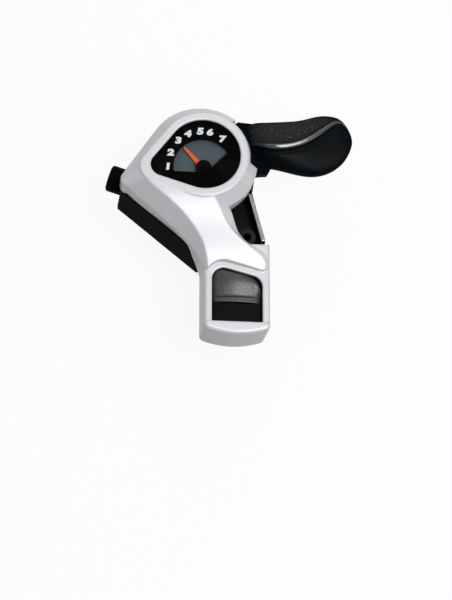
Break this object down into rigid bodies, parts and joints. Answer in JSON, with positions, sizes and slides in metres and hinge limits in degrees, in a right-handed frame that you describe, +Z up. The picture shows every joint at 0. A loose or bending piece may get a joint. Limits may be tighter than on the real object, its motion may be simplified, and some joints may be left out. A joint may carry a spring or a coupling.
{
  "type": "thumb shifter",
  "caption": "Handlebar thumb shifter with a numbered gear dial, red needle, side thumb lever, cable adjuster and a band clamp.",
  "frame": {"origin": "middle of the handlebar clamp, on the bar's axis", "axes": "+X along the bar, +Y forward from the bar to the dial, +Z up along the lever's axis"},
  "size_m": [0.0961, 0.0913, 0.0507],
  "materials": {
    "silver_paint": "satin silver paint over moulded plastic",
    "black_plastic": "satin moulded plastic",
    "dial_black": "printed, smooth",
    "dial_grey": "printed, smooth",
    "clear_lens": "clear moulded plastic",
    "needle_red": "smooth",
    "white_plastic": "moulded",
    "bright_steel": "bright zinc plated",
    "spring_steel": "bare"
  },
  "bodies": {
    "housing": {"base_housing": "black_plastic", "top_cover": "silver_paint", "dial_plate": "dial_black", "dial_backing": "dial_grey", "dial_lens": "clear_lens", "bolt_cap": "black_plastic", "steel_bracket": "bright_steel", "pivot_bolt": "bright_steel", "pivot_nut": "bright_steel", "thrust_washer": "bright_steel", "wave_washer": "spring_steel", "index_spring": "spring_steel", "clamp_band": "bright_steel", "clamp_bolt": "bright_steel", "clamp_nut": "bright_steel", "hook_pin": "bright_steel", "cover_screws": "bright_steel", "adjuster_spring": "spring_steel", "detent_washer": "white_plastic"},
    "lever": {"thumb_lever": "black_plastic", "cable_spool": "white_plastic", "index_plate": "spring_steel", "drive_dowels": "bright_steel", "drive_sector": "white_plastic"},
    "needle": {"needle_pinion": "white_plastic", "indicator_needle": "needle_red"},
    "adjuster": {"adjuster_knob": "black_plastic", "adjuster_bolt": "bright_steel"}
  },
  "joints": [
    {"name": "lever_swing", "type": "hinge", "parent": "housing", "child": "lever", "pos_m": [-0.0138, 0.0452, 0], "axis": [0, 0, 1], "range_deg": [-41.36, 27.2], "deforming": ["index_spring"]},
    {"name": "needle_turn", "type": "hinge", "parent": "housing", "child": "needle", "pos_m": [-0.0138, 0.04, 0], "axis": [0, 0, 1], "range_deg": [-75, 50]},
    {"name": "adjuster_turn", "type": "hinge", "parent": "housing", "child": "adjuster", "pos_m": [-0.04332, 0.03923, 0.01955], "axis": [-0.9545, 0.2982, 0], "range_deg": [0, 1440]}
  ],
  "couplings": [
    {"joint": "needle_turn", "follows": "lever_swing", "ratio": 1.7647}
  ]
}
